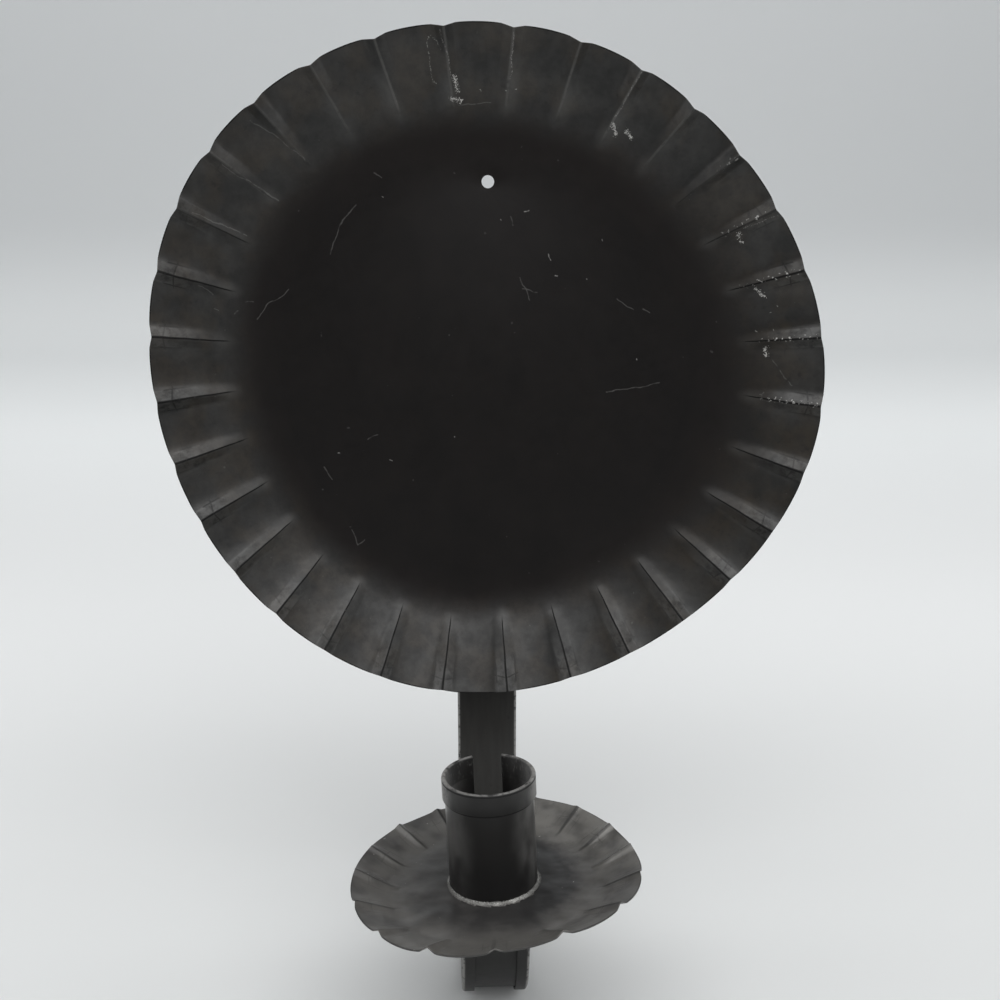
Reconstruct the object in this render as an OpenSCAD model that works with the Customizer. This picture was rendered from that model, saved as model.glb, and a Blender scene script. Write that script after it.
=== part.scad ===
// Wall sconce of painted tinplate: a dished reflector with a crimped rim, a hemmed strap arm
// that turns under and up in a J, a crimped drip pan, and a rolled candle socket with an open seam.
// Millimetres. The origin is the centre of the nail hole on the reflector's back.
// X runs to the right seen from the room, Y runs into the wall, and Z runs up.

/* [Reflector] */
// Mean diameter over the lobes of the rim
reflector_d = 191.5; // [160:0.5:230]
// Diameter of the flat middle
reflector_flat_d = 124; // [116:1:130]
// How far the rim stands forward of the back
reflector_depth = 12; // [6:0.5:18]
// Thickness of the reflector's sheet
reflector_sheet = 0.5; // [0.3:0.05:1]
// Number of crimps round the rim
reflector_crimps = 32; // [20:1:44]
// Length of a crimp, in from the rim
reflector_crimp_len = 21; // [12:0.5:26]
// Height of a crimp's ridge at the rim
reflector_crimp_h = 2.8; // [1:0.1:4]
// How far the rim is drawn in at each crimp
reflector_notch = 1.3; // [0:0.1:2.5]
// Polar angle of the first crimp, from the right
reflector_first_crimp = 5.2; // [0:0.1:11]
// Drift of the crimps' spacing by eye, in degrees
reflector_drift = 2.3; // [0:0.1:3]
// Share by which the crimps differ from each other
reflector_uneven = 0.15; // [0:0.01:0.4]
// How far the hand-cut outline is out of round
reflector_out_of_round = 1.4; // [0:0.1:3]

/* [Nail hole] */
// Diameter of the nail hole
nail_hole_d = 3.6; // [2.5:0.1:6]
// Height of the nail hole above the reflector's middle
nail_hole_up = 54.2; // [40:0.1:54.5]
// How far the nail hole was punched to the right of the middle
nail_hole_side = 0.6; // [-2:0.1:2]

/* [Arm] */
// Width of the strap over its hems
arm_w = 18.5; // [14:0.5:24]
// Thickness of the strap's sheet
arm_sheet = 0.7; // [0.4:0.05:1]
// Width of a hem, folded to the wall side
hem_w = 3.5; // [2.5:0.1:5]
// Air left inside the fold of a hem
hem_gap = 0.3; // [0.1:0.05:0.6]
// Height of the strap's top above the reflector's middle
arm_top_up = 18; // [-10:1:40]
// Radius of the J bend, to the strap's inner face
arm_bend_r = 31.3; // [24:0.1:40]
// Straight rise from the J bend to the drip pan
arm_rise = 15.8; // [8:0.2:24]
// Length of the tab that turns in under the drip pan
tab_len = 14; // [8:0.5:20]
// Inner radius of the tab's bend
tab_bend_r = 1.2; // [0.6:0.1:2]

/* [Drip pan] */
// Mean diameter over the lobes of the rim
pan_d = 78.5; // [68:0.5:96]
// Diameter of the flat floor
pan_floor_d = 49; // [44:0.5:54]
// Mean height of the rim over the floor
pan_depth = 4.3; // [3.5:0.1:10]
// Thickness of the drip pan's sheet
pan_sheet = 0.5; // [0.3:0.05:1]
// Drop from the reflector's middle to the drip pan's floor
pan_drop = 129.5; // [120:0.5:150]
// Lean of the drip pan and socket to the left
pan_lean = 2.5; // [-4:0.5:4]
// How far the drip pan sits to the right of the socket
pan_shift = 0.6; // [-2:0.1:2]
// Number of crimps round the rim
pan_crimps = 16; // [10:1:24]
// Polar angle of the first crimp, from the right
pan_first_crimp = 2.4; // [0:0.1:20]
// Drift of the crimps' spacing by eye, in degrees
pan_drift = 3.4; // [0:0.1:4]
// Share by which the crimps differ from each other
pan_uneven = 0.3; // [0:0.01:0.5]
// How far the hand-cut outline is out of round
pan_out_of_round = 1.5; // [0:0.1:2]
// How far the rim waves up and down
pan_wave = 1.1; // [0:0.1:1.5]
// Length of a crimp, in from the rim
pan_crimp_len = 11; // [6:0.5:13]
// Height of a crimp's ridge at the rim
pan_crimp_h = 1.2; // [0.5:0.1:2.5]
// How far the rim is drawn in at each crimp
pan_notch = 0.6; // [0:0.1:2]

/* [Candle socket] */
// Diameter of the candle
candle_d = 22.2; // [19:0.1:25.4]
// Gap between candle and socket, all round
candle_clearance = 0.15; // [0.05:0.05:0.45]
// Thickness of the socket's sheet
socket_sheet = 0.6; // [0.3:0.05:0.8]
// Height of the socket above the drip pan's floor
socket_h = 31.5; // [20:0.5:45]
// Height of the lip, folded outwards
lip_h = 5.9; // [3:0.1:9]
// Width of the open seam at the back
seam_w = 8; // [4:0.1:9]

/* [Solder] */
// Width of the fillet round the socket, on the drip pan
socket_fillet = 1.5; // [0.8:0.1:2.2]
// Width of the fillets on the reflector's back and under the drip pan
seam_fillet = 1.4; // [0.8:0.1:2.2]
// Length of each fillet beside the strap
side_fillet_len = 26; // [12:1:40]
// How far the side fillets start below the reflector's middle
side_fillet_down = 14; // [0:1:16]

/* [Hidden] */
$fn = 96;

tin_black = [0.13, 0.12, 0.115];
tin_grey = [0.24, 0.235, 0.23];
solder_grey = [0.52, 0.52, 0.5];

hem_t = 2 * arm_sheet + hem_gap;
fold_x = (arm_w - hem_t) / 2;
web_w = arm_w - 2 * hem_w;
top_z = arm_top_up - nail_hole_up;
front_leg_y = -2 * arm_bend_r;
spring_z = -nail_hole_up - pan_drop - arm_rise;
// The rise curves into the drip pan's lean over twice this length
lean_up = 1;
floor_z = arm_rise - lean_up;
under_z = floor_z - pan_sheet;
tab_z = under_z - arm_sheet;
tab_bend_z = tab_z - tab_bend_r;

socket_r = candle_d / 2 + candle_clearance;
socket_outer_r = socket_r + socket_sheet;
seam_angle = 2 * asin(seam_w / 2 / socket_outer_r);

// Work done by hand and eye strays in waves round a rim. Each wave is its share,
// the number of crests, and the polar angle of a crest.
REFLECTOR_SPACING = [[1, 1, 53], [0.2, 4, 22]];
REFLECTOR_OUTLINE = [[1, 2, 138], [0.9, 3, 6], [0.5, 4, -15], [0.2, 5, -9]];
PAN_SPACING = [[1, 1, 30], [0.65, 2, -12], [0.55, 3, -42]];
PAN_OUTLINE = [[0.8, 2, 62], [1, 3, -25], [0.4, 4, -36]];
PAN_HEIGHT = [[0.9, 1, -90], [1, 2, 2], [0.5, 3, -48]];

// Places across half a crimp, from its ridge to the middle of the lobe beside it
ACROSS = [0, 0.1, 0.28, 0.58, 1];
// Places along the rim's slope, from the edge of the flat to the start of the crimps
SLOPE = [0, 0.36, 0.72];
// Places along a crimp, from its inner end to the rim
ALONG = [0, 0.12, 0.36, 0.66, 1];
// Share of the rim's slope that curves up from the flat
BEND = 0.44;

// Sum of a list of waves at polar angle a
function wavy(waves, a) = [for (w = waves) w[0] * cos(w[1] * (a - w[2]))] * [for (w = waves) 1];

// Polar angles of n crimps in even steps, plus their drift
function crimp_angles(n, first, drift, spacing) =
    [for (i = [0 : n - 1]) let (even = i * 360 / n) first + even + drift * wavy(spacing, even)];

// Crimps are struck one by one, so their lengths and heights differ a little
function struck(i, share) = 1 + share * sin(137 * i + 40);

// A ridge is sharp along its crest and eases into the lobes on both sides
function ridge(u) = pow(1 - u, 2.3);

// A ridge starts abruptly at its inner end and grows towards the rim
function growth(s) = pow(s, 0.65);

// Share of the rise between the flat and the rim: a curve, then a straight flare
function rise(s) = (s < BEND ? s * s / (2 * BEND) : s - BEND / 2) / (1 - BEND / 2);

// Places its children about the middle line of the reflector and the strap
module on_middle() {
    translate([-nail_hole_side, 0, 0]) children();
}

// A dish of sheet metal, open towards +Z, whose rim is gathered by crimps.
// angles: polar angle of each crimp; rim, height: the outline's radius and height at an angle;
// uneven: share by which the crimps differ from each other
module crimped_dish(angles, rim, height, flat_r, sheet, crimp_len, crimp_h, notch, uneven) {
    n = len(angles);
    columns = [
        for (i = [0 : n - 1])
            let (a = angles[i], b = i < n - 1 ? angles[i + 1] : angles[0] + 360)
            each concat(
                [for (u = ACROSS) [a + (b - a) * u / 2, u, i]],
                [for (k = [len(ACROSS) - 2 : -1 : 1])
                    [b - (b - a) * ACROSS[k] / 2, ACROSS[k], (i + 1) % n]]
            )
    ];
    m = len(columns);
    rows = len(SLOPE) + len(ALONG);
    // One point of the sheet, from the ring and the column, on the back or the front face
    function at(j, c, front) =
        let (
            r_rim = rim(c[0]),
            span = r_rim - flat_r,
            start = 1 - crimp_len * struck(c[2], uneven / 3) / span,
            s = j < len(SLOPE) ? SLOPE[j] * start
                : start + ALONG[j - len(SLOPE)] * (1 - start),
            along = j < len(SLOPE) ? 0 : ALONG[j - len(SLOPE)],
            lift = crimp_h * struck(c[2], uneven) * growth(along) * ridge(c[1]),
            drawn = notch * along * ridge(c[1]),
            r = flat_r + span * s - drawn,
            z = height(c[0]) * rise(s) + lift
        )
        [r * cos(c[0]), r * sin(c[0]), front ? z + sheet : z];
    points = [
        for (front = [false, true])
            for (j = [0 : rows - 1])
                for (c = columns) at(j, c, front)
    ];
    half = rows * m;
    last = (rows - 1) * m;
    faces = concat(
        [[for (k = [0 : m - 1]) k]],
        [[for (k = [m - 1 : -1 : 0]) half + k]],
        [for (j = [0 : rows - 2]) for (k = [0 : m - 1])
            let (a = j * m + k, b = j * m + (k + 1) % m)
            each [[a, a + m, b], [b, a + m, b + m]]],
        [for (j = [0 : rows - 2]) for (k = [0 : m - 1])
            let (a = half + j * m + k, b = half + j * m + (k + 1) % m)
            each [[a, b, a + m], [b, b + m, a + m]]],
        [for (k = [0 : m - 1])
            let (a = last + k, b = last + (k + 1) % m)
            each [[a, a + half, b], [b, a + half, b + half]]]
    );
    polyhedron(points, faces, convexity = 6);
}

// Dished reflector with its crimped rim and nail hole
module reflector() {
    color(tin_black)
    difference() {
        on_middle() translate([0, 0, -nail_hole_up]) rotate([90, 0, 0])
            crimped_dish(
                crimp_angles(
                    reflector_crimps, reflector_first_crimp, reflector_drift, REFLECTOR_SPACING
                ),
                function(a) reflector_d / 2 + reflector_out_of_round * wavy(REFLECTOR_OUTLINE, a),
                function(a) reflector_depth - reflector_sheet,
                reflector_flat_d / 2, reflector_sheet,
                reflector_crimp_len, reflector_crimp_h, reflector_notch, reflector_uneven
            );
        rotate([90, 0, 0]) cylinder(d = nail_hole_d, h = 4 * reflector_sheet, center = true);
    }
}

// Section of the strap: the web on y = 0, with a hem folded back over each edge
module strap_section() {
    translate([-fold_x, 0]) square([2 * fold_x, arm_sheet]);
    for (side = [0, 1]) mirror([side, 0]) {
        translate([fold_x, hem_t / 2]) difference() {
            circle(d = hem_t);
            circle(d = hem_gap);
            translate([-hem_t, -hem_t]) square([hem_t, 2 * hem_t]);
        }
        translate([arm_w / 2 - hem_w, hem_t - arm_sheet]) square([hem_w - hem_t / 2, arm_sheet]);
    }
}

// A length of strap along +Z, with its hems towards the room
module front_strap(length) {
    linear_extrude(length) mirror([0, 1]) strap_section();
}

// Leans its children with the drip pan. The origin is on the strap's inner face, in front.
module leaning() {
    translate([0, front_leg_y, spring_z + lean_up]) rotate([0, -pan_lean, 0]) children();
}

// The strap's bend in its own plane, from the J bend's upright end into the lean
module lean_bend() {
    translate([0, front_leg_y, spring_z])
        if (pan_lean == 0) {
            front_strap(2 * lean_up);
        } else {
            bend_r = lean_up / tan(abs(pan_lean) / 2);
            mirror([pan_lean > 0 ? 0 : 1, 0, 0]) translate([-bend_r, 0, 0]) rotate([90, 0, 0])
                rotate_extrude(angle = abs(pan_lean)) translate([bend_r, 0]) strap_section();
        }
}

// Strap up the reflector's back, a half circle under, and a short rise that ends in a tab
module arm() {
    color(tin_black) on_middle() {
        translate([0, 0, spring_z]) linear_extrude(top_z - spring_z) strap_section();
        translate([0, -arm_bend_r, spring_z]) rotate([-90, 0, 90])
            rotate_extrude(angle = 180) translate([arm_bend_r, 0])
                mirror([1, 0]) rotate(90) strap_section();
        lean_bend();
        leaning() {
            translate([0, 0, lean_up]) front_strap(tab_bend_z - lean_up);
            tab();
        }
    }
}

// The web's end, turned in towards the wall under the drip pan
module tab() {
    translate([web_w / 2, tab_bend_r, tab_bend_z]) rotate([90, 0, -90])
        rotate_extrude(angle = 90) translate([tab_bend_r, 0]) square([arm_sheet, web_w]);
    translate([-web_w / 2, tab_bend_r, tab_z]) cube([web_w, tab_len - tab_bend_r, arm_sheet]);
}

// Crimped drip pan
module drip_pan() {
    color(tin_grey) on_middle() leaning() translate([pan_shift, 0, under_z])
        crimped_dish(
            crimp_angles(pan_crimps, pan_first_crimp, pan_drift, PAN_SPACING),
            function(a) pan_d / 2 + pan_out_of_round * wavy(PAN_OUTLINE, a),
            function(a) pan_depth + pan_wave * wavy(PAN_HEIGHT, a),
            pan_floor_d / 2, pan_sheet,
            pan_crimp_len, pan_crimp_h, pan_notch, pan_uneven
        );
}

// Turns a profile round the candle's axis, all but the open seam at the back
module round_candle() {
    leaning() translate([0, 0, floor_z]) rotate(90 + seam_angle / 2)
        rotate_extrude(angle = 360 - seam_angle) children();
}

// Rolled tube with a lip folded outwards
module candle_socket() {
    lip_top_z = socket_h - socket_sheet;
    color(tin_black) on_middle() round_candle() {
        translate([socket_r, 0]) square([socket_sheet, lip_top_z]);
        translate([socket_outer_r, socket_h - lip_h]) square([socket_sheet, lip_h - socket_sheet]);
        translate([socket_outer_r, lip_top_z]) intersection() {
            circle(r = socket_sheet);
            translate([-socket_sheet, 0]) square([2 * socket_sheet, socket_sheet]);
        }
    }
}

// Fillet of solder round the foot of the socket
module socket_solder() {
    color(solder_grey) on_middle() round_candle() translate([socket_outer_r, 0]) difference() {
        square(socket_fillet);
        translate([socket_fillet, socket_fillet]) circle(r = socket_fillet);
    }
}

// Solder under the drip pan: in the throat of the tab's bend, and along both sides of the tab
module pan_solder() {
    throat = tab_bend_r + arm_sheet;
    color(solder_grey) on_middle() leaning() {
        translate([-web_w / 2, 0, under_z]) rotate([90, 0, 90]) linear_extrude(web_w) difference() {
            translate([-arm_sheet - seam_fillet, -seam_fillet])
                square([seam_fillet + throat / 2, seam_fillet]);
            translate([-arm_sheet - seam_fillet, -seam_fillet]) circle(r = seam_fillet);
            translate([tab_bend_r, -throat]) circle(r = throat);
        }
        for (side = [0, 1]) mirror([side, 0, 0])
            translate([web_w / 2, tab_len, under_z]) rotate([90, 0, 0])
                linear_extrude(tab_len - tab_bend_r)
                    polygon([[0, 0], [seam_fillet, 0], [0, -arm_sheet]]);
    }
}

// Solder where the strap's top end meets the reflector's back
module strap_solder_top() {
    color(solder_grey) on_middle() translate([-fold_x, 0, top_z]) rotate([90, 0, 90])
        linear_extrude(2 * fold_x) polygon([[0, 0], [arm_sheet, 0], [0, seam_fillet]]);
}

// Solder in the throat between the reflector's back and the round edge of a hem
module side_solder() {
    throat_x = fold_x + hem_t / 4;
    translate([0, 0, -nail_hole_up - side_fillet_down - side_fillet_len])
        linear_extrude(side_fillet_len) difference() {
            polygon([
                [throat_x, 0], [arm_w / 2 + seam_fillet, 0], [arm_w / 2, hem_t / 2],
                [throat_x, hem_t / 2]
            ]);
            translate([fold_x, hem_t / 2]) circle(d = hem_t);
        }
}

module strap_solder_left() {
    color(solder_grey) on_middle() mirror([1, 0, 0]) side_solder();
}

module strap_solder_right() {
    color(solder_grey) on_middle() side_solder();
}

reflector();
arm();
drip_pan();
candle_socket();
socket_solder();
pan_solder();
strap_solder_top();
strap_solder_left();
strap_solder_right();
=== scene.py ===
# %% [markdown]
# # A tin reflector sconce
#
# The real object is four pieces of blackened tinplate and the solder that joins them. A round
# reflector hangs on a nail, its rim gathered by thirty-two crimps. A strap with hemmed edges is
# soldered to its back, turns under in a J and carries a crimped drip pan, and a rolled candle
# socket stands on the pan.
#
# The construction model is loaded first, as a fixed frame. Each piece is then made again with
# finer curves and rounded edges in the place that the frame gives it, and gets its finish.

# %% Load the frame
import math

import bmesh
import bpy
from mathutils import Matrix, Vector


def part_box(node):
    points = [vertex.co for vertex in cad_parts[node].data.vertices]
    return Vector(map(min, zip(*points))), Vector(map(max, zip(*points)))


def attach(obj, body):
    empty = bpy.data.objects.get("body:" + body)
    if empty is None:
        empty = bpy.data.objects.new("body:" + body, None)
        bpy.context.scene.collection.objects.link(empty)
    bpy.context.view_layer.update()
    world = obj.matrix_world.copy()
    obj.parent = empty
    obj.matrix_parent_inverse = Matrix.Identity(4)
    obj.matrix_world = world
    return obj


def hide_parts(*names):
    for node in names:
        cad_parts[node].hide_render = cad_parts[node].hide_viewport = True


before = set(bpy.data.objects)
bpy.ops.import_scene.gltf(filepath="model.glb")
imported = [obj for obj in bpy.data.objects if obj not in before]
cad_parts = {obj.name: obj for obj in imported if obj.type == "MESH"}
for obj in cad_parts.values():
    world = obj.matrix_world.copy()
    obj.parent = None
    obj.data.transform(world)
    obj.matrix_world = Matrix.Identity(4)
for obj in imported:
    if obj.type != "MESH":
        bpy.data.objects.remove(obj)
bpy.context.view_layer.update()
MM = 0.001
print("nodes in the frame:", ", ".join(sorted(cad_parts)))

# %% [markdown]
# The camera comes first, because everything else is judged through it. A photograph is matched
# by three things: the focal length, the place of the lens and the way that it points. Here they
# are measured in the object's own millimetres, with the centre of the nail hole as the origin.

# %% Camera
LENS = 43.2
SENSOR = 36
EYE = Vector((-13.6, -353.05, -7.74)) * MM
PITCH_DOWN = 13.6
YAW_RIGHT = 2.77

camera = bpy.data.objects.new("camera", bpy.data.cameras.new("camera"))
camera.data.lens = LENS
camera.data.sensor_width = SENSOR
camera.data.clip_start = 0.01
camera.location = EYE
camera.rotation_euler = (math.radians(90 - PITCH_DOWN), 0, math.radians(-YAW_RIGHT))
bpy.context.scene.collection.objects.link(camera)
bpy.context.scene.camera = camera
bpy.context.scene.view_settings.view_transform = "Standard"

# %% [markdown]
# A finish is a network of nodes, and long sums are hard to read as nodes. So one small class
# wraps a node's output and lets sums be written as in any program: each + or * adds a Math node.
# A second class holds one material and has a single way to add every other kind of node.

# %% Sums on nodes
class Value:
    """A node's output, on which sums can be written."""

    def __init__(self, finish, socket):
        self.finish = finish
        self.socket = socket

    def __add__(self, other):
        return self.finish.math("ADD", self, other)

    def __sub__(self, other):
        return self.finish.math("SUBTRACT", self, other)

    def __rsub__(self, other):
        return self.finish.math("SUBTRACT", other, self)

    def __mul__(self, other):
        return self.finish.math("MULTIPLY", self, other)

    def __truediv__(self, other):
        return self.finish.math("DIVIDE", self, other)

    def __abs__(self):
        return self.finish.math("ABSOLUTE", self)

    __radd__ = __add__
    __rmul__ = __mul__


# %% One material
class Finish:
    """A procedural finish on one Principled shader."""

    def __init__(self, name):
        self.material = bpy.data.materials.new(name)
        self.material.use_nodes = True
        self.tree = self.material.node_tree
        self.shader = self.tree.nodes["Principled BSDF"]

    def add(self, kind, settings, values, output=0):
        node = self.tree.nodes.new("ShaderNode" + kind)
        for name, setting in settings.items():
            setattr(node, name, setting)
        for key, value in values.items():
            self.feed(node.inputs[key], value)
        return Value(self, node.outputs[output])

    def feed(self, socket, value):
        if isinstance(value, Value):
            self.tree.links.new(value.socket, socket)
        else:
            socket.default_value = value

    def math(self, operation, *values):
        return self.add("Math", {"operation": operation}, dict(enumerate(values)))

    def place(self):
        """The piece's own coordinates in millimetres."""
        metres = self.add("TexCoord", {}, {}, "Object")
        return self.add("VectorMath", {"operation": "SCALE"}, {0: metres, "Scale": 1 / MM})

    def parts(self, vector):
        return [self.add("SeparateXYZ", {}, {0: vector}, axis) for axis in "XYZ"]

    def stretch(self, vector, scale):
        return self.add("Mapping", {"vector_type": "POINT"}, {"Vector": vector, "Scale": scale})

    def noise(self, vector, size, detail=3.0, roughness=0.5, output=0):
        """Soft random patches, each about size millimetres across."""
        return self.add("TexNoise", {}, {
            "Vector": vector, "Scale": 1 / size, "Detail": detail, "Roughness": roughness,
        }, output)

    def wander(self, vector, size, amount):
        """The vector moved about by up to half of amount, so that what is drawn on it isn't straight."""
        off = self.add("VectorMath", {"operation": "SUBTRACT"},
                       {0: self.noise(vector, size, output=1), 1: (0.5, 0.5, 0.5)})
        off = self.add("VectorMath", {"operation": "SCALE"}, {0: off, "Scale": amount})
        return self.add("VectorMath", {"operation": "ADD"}, {0: vector, 1: off})

    def nearest(self, vector, lines):
        """How far the vector is from the nearest of some straight lines, each given by its two ends."""
        found = None
        for start, end in lines:
            way = Vector(end) - Vector(start)
            reach = self.add("VectorMath", {"operation": "SUBTRACT"}, {0: vector, 1: start})
            share = self.add("VectorMath", {"operation": "DOT_PRODUCT"},
                             {0: reach, 1: way / way.length_squared}, 1)
            share = self.math("MINIMUM", self.math("MAXIMUM", share, 0), 1)
            foot = self.add("VectorMath", {"operation": "SCALE"}, {0: way, "Scale": share})
            off = self.add("VectorMath", {"operation": "DISTANCE"}, {0: reach, 1: foot}, 1)
            found = off if found is None else self.math("MINIMUM", found, off)
        return found

    def step(self, value, low, high):
        """0 below low, 1 above high and smooth between, or the other way round if low is higher."""
        return self.add("MapRange", {"interpolation_type": "SMOOTHSTEP"}, {0: value, 1: low, 2: high})

    def mix(self, share, first, second):
        """first where share is 0, and second where it is 1."""
        sockets = {0: share, 6: first, 7: second}
        return self.add("Mix", {"data_type": "RGBA", "clamp_factor": True}, sockets, 2)

    def most(self, *values):
        found = values[0]
        for value in values[1:]:
            found = self.math("MAXIMUM", found, value)
        return found

    def bump(self, height):
        """Raises the surface by height, in millimetres."""
        return self.add("Bump", {}, {"Height": height, "Distance": MM, "Strength": 1.0})

    def set(self, **values):
        for name, value in values.items():
            self.feed(self.shader.inputs[name.replace("_", " ")], value)


# %% [markdown]
# The sweep is a pale sheet that runs level under the object and curves up far behind it, as in a
# small studio. It starts as a plane. Its back edge is pulled up and away again and again, a few
# degrees more each time, which rolls a smooth bend.

# %% Sweep
FLOOR_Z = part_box("arm")[0].z
SWEEP_SIDE = 6.0
SWEEP_BACK = 1.55
SWEEP_BEND = 0.75
BEND_STEPS = 16

bpy.ops.object.select_all(action="DESELECT")
bpy.ops.mesh.primitive_plane_add(size=SWEEP_SIDE, location=(0, SWEEP_BACK - SWEEP_SIDE / 2, FLOOR_Z))
sweep = bpy.context.object
sweep.name = "sweep"
bpy.ops.object.transform_apply(location=True)
bpy.ops.object.mode_set(mode="EDIT")
bpy.ops.mesh.select_mode(type="EDGE")
bpy.ops.mesh.select_all(action="DESELECT")
shape = bmesh.from_edit_mesh(sweep.data)
for edge in shape.edges:
    if all(v.co.y > SWEEP_BACK - MM for v in edge.verts):
        edge.select_set(True)
bmesh.update_edit_mesh(sweep.data)
for i in range(BEND_STEPS):
    slope = math.radians(90 * (i + 0.5) / BEND_STEPS)
    run = SWEEP_BEND * math.pi / 2 / BEND_STEPS
    way = (0, run * math.cos(slope), run * math.sin(slope))
    bpy.ops.mesh.extrude_edges_move(TRANSFORM_OT_translate={"value": way})
bpy.ops.mesh.extrude_edges_move(TRANSFORM_OT_translate={"value": (0, 0, SWEEP_SIDE / 2)})
bpy.ops.object.mode_set(mode="OBJECT")
bpy.ops.object.shade_smooth()
print("the sweep stands at", round(FLOOR_Z / MM, 1), "mm")

# %% [markdown]
# The sheet takes the lamps' light as matt paper does, so the object's shadow stays on it. It is
# painted greyer near the object and greyer still towards the front, where the lamps are near and
# the dark paint mirrors it: that greying is painted shade. Far behind the object it rises out of
# the lamps' reach and would go dark. There it gives off a pale tone of its own, which only the
# camera and mirrors see, so it puts no more light on the object.

# %% Sweep's paint
PAPER = (0.80, 0.81, 0.81, 1)
NEAR_PAPER_SHADE = (0.64, 0.65, 0.648, 1)
FRONT_PAPER_SHADE = (0.34, 0.345, 0.345, 1)
FAR_TONE = (0.20, 0.21, 0.213, 1)
LOW_WALL_TONE = (0.085, 0.092, 0.096, 1)
WALL_TONE = (0.135, 0.142, 0.147, 1)
BLACK = (0, 0, 0, 1)

paper = Finish("sweep_paper")
x, y, z = paper.parts(paper.place())
seen = paper.most(
    paper.add("LightPath", {}, {}, "Is Camera Ray"),
    paper.add("LightPath", {}, {}, "Is Glossy Ray"),
    paper.add("LightPath", {}, {}, "Is Transmission Ray"),
)
far = paper.step(y, 300, 1000)
wall = paper.mix(paper.step(z, FLOOR_Z / MM + 200, FLOOR_Z / MM + 900), LOW_WALL_TONE, WALL_TONE)
wall = paper.mix(paper.step(z, FLOOR_Z / MM + 5, FLOOR_Z / MM + 220), FAR_TONE, wall)
# painted shade: the sheet is greyer near the object and greyer still towards the front
tone = paper.mix(paper.step(y, -700, -330), FRONT_PAPER_SHADE, NEAR_PAPER_SHADE)
tone = paper.mix(paper.step(y, -60, 350), tone, PAPER)
paper.set(
    Base_Color=tone,
    Roughness=0.8,
    Emission_Color=paper.mix(seen * far, BLACK, wall),
)
paper.shader.inputs["Emission Strength"].default_value = 1
paper.shader.inputs["Specular IOR Level"].default_value = 0.1
sweep.data.materials.append(paper.material)

# %% [markdown]
# Black satin paint shows little colour of its own: what the eye reads is the room, mirrored
# softly. So the lamps are placed by what each part of the dish mirrors. The bottom of the rim
# leans back and mirrors the lamps high in front, the left of it mirrors one on the right, and
# the steep sides of the crimps mirror the two that stand far out. The flat middle mirrors the
# level front, which stays dim.

# %% Light
LAMPS = {
    "overhead_lamp": {"place": (0, -0.2, 1.1), "aim": (0, -0.1, -0.2), "size": (1.7, 1.1), "level": 1.65},
    "high_front_lamp": {"place": (0.05, -1.05, 1.2), "aim": (0, 0, 0), "size": (2.6, 0.7), "level": 2.2},
    "front_lamp": {"place": (0.38, -1.5, 0.75), "aim": (0, 0, -0.1), "size": (1.5, 0.6), "level": 1.95},
    "left_lamp": {"place": (-1.45, -0.6, 0.4), "aim": (0, 0, -0.1), "size": (0.8, 1.0), "level": 1.2},
    "far_right_lamp": {"place": (1.5, -0.6, 0.4), "aim": (0, 0, -0.1), "size": (0.8, 1.0), "level": 1.2},
    "right_lamp": {"place": (1.1, -1.25, 0.15), "aim": (0, 0, -0.1), "size": (0.6, 0.7), "level": 0.5},
}


def soft_lamp(name, place, aim, size, level):
    """A lamp as bright as white paper in full light where level is 1."""
    lamp = bpy.data.objects.new(name, bpy.data.lights.new(name, "AREA"))
    lamp.data.shape = "RECTANGLE"
    lamp.data.size, lamp.data.size_y = size
    lamp.data.energy = level * math.pi * size[0] * size[1]
    lamp.location = place
    lamp.rotation_euler = (Vector(aim) - Vector(place)).to_track_quat("-Z", "Y").to_euler()
    lamp.visible_camera = False
    bpy.context.scene.collection.objects.link(lamp)


for name, values in LAMPS.items():
    soft_lamp(name, **values)

# %% [markdown]
# Between the lamps the object sees the room: pale at the sides and behind, where the sheet and
# the walls are, and dim in front, behind the camera. The world's colour is mixed by the way that
# a ray points.

# %% Room
DIM_FRONT = (0.17, 0.175, 0.18, 1)
PALE_SIDES = (0.5, 0.51, 0.52, 1)


class Room(Finish):
    """The same ways of adding nodes, for the world."""

    def __init__(self, name):
        world = bpy.data.worlds.new(name)
        world.use_nodes = True
        bpy.context.scene.world = world
        self.tree = world.node_tree
        self.shader = self.tree.nodes["Background"]


room = Room("room")
across_room, along_room, up_room = room.parts(room.add("TexCoord", {}, {}, "Generated"))
room.set(Color=room.mix(room.step(along_room, -0.7, -0.1), DIM_FRONT, PALE_SIDES))
room.shader.inputs["Strength"].default_value = 1

# %% [markdown]
# The reflector and the drip pan are the same kind of work: a flat sheet whose rim is raised in a
# flare, and gathered by a plier that pinches a sharp ridge at each crimp. So both are made by one
# function from a short description.
#
# Crimps set by hand and eye aren't even. Their spacing, the outline and the height of the rim
# stray in slow waves, and each wave below is its share, its number of crests and the angle of a
# crest. These are the same rules as the construction model's, so the sheet falls in its place.

# %% Rules of a crimped rim
def wavy(waves, angle):
    return sum(w[0] * math.cos(math.radians(w[1] * (angle - w[2]))) for w in waves)


def struck(i, share):
    """How much longer or higher than the mean crimp number i is."""
    return 1 + share * math.sin(math.radians(137 * i + 40))


class CrimpedSheet:
    """A dish that opens towards +Z, in millimetres."""

    bend = 0.44

    def crimp_angle(self, i):
        even = i * 360 / self.crimps
        return self.first_crimp + even + self.drift * wavy(self.spacing, even)

    def rim_radius(self, angle):
        return self.mean_radius + self.out_of_round * wavy(self.outline, angle)

    def rim_height(self, angle):
        return self.depth + self.wave * wavy(self.height_waves, angle)

    def rise(self, s):
        """Share of the rise at share s of the way out: a curve, then a straight flare."""
        bent = s * s / (2 * self.bend) if s < self.bend else s - self.bend / 2
        return bent / (1 - self.bend / 2)


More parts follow.
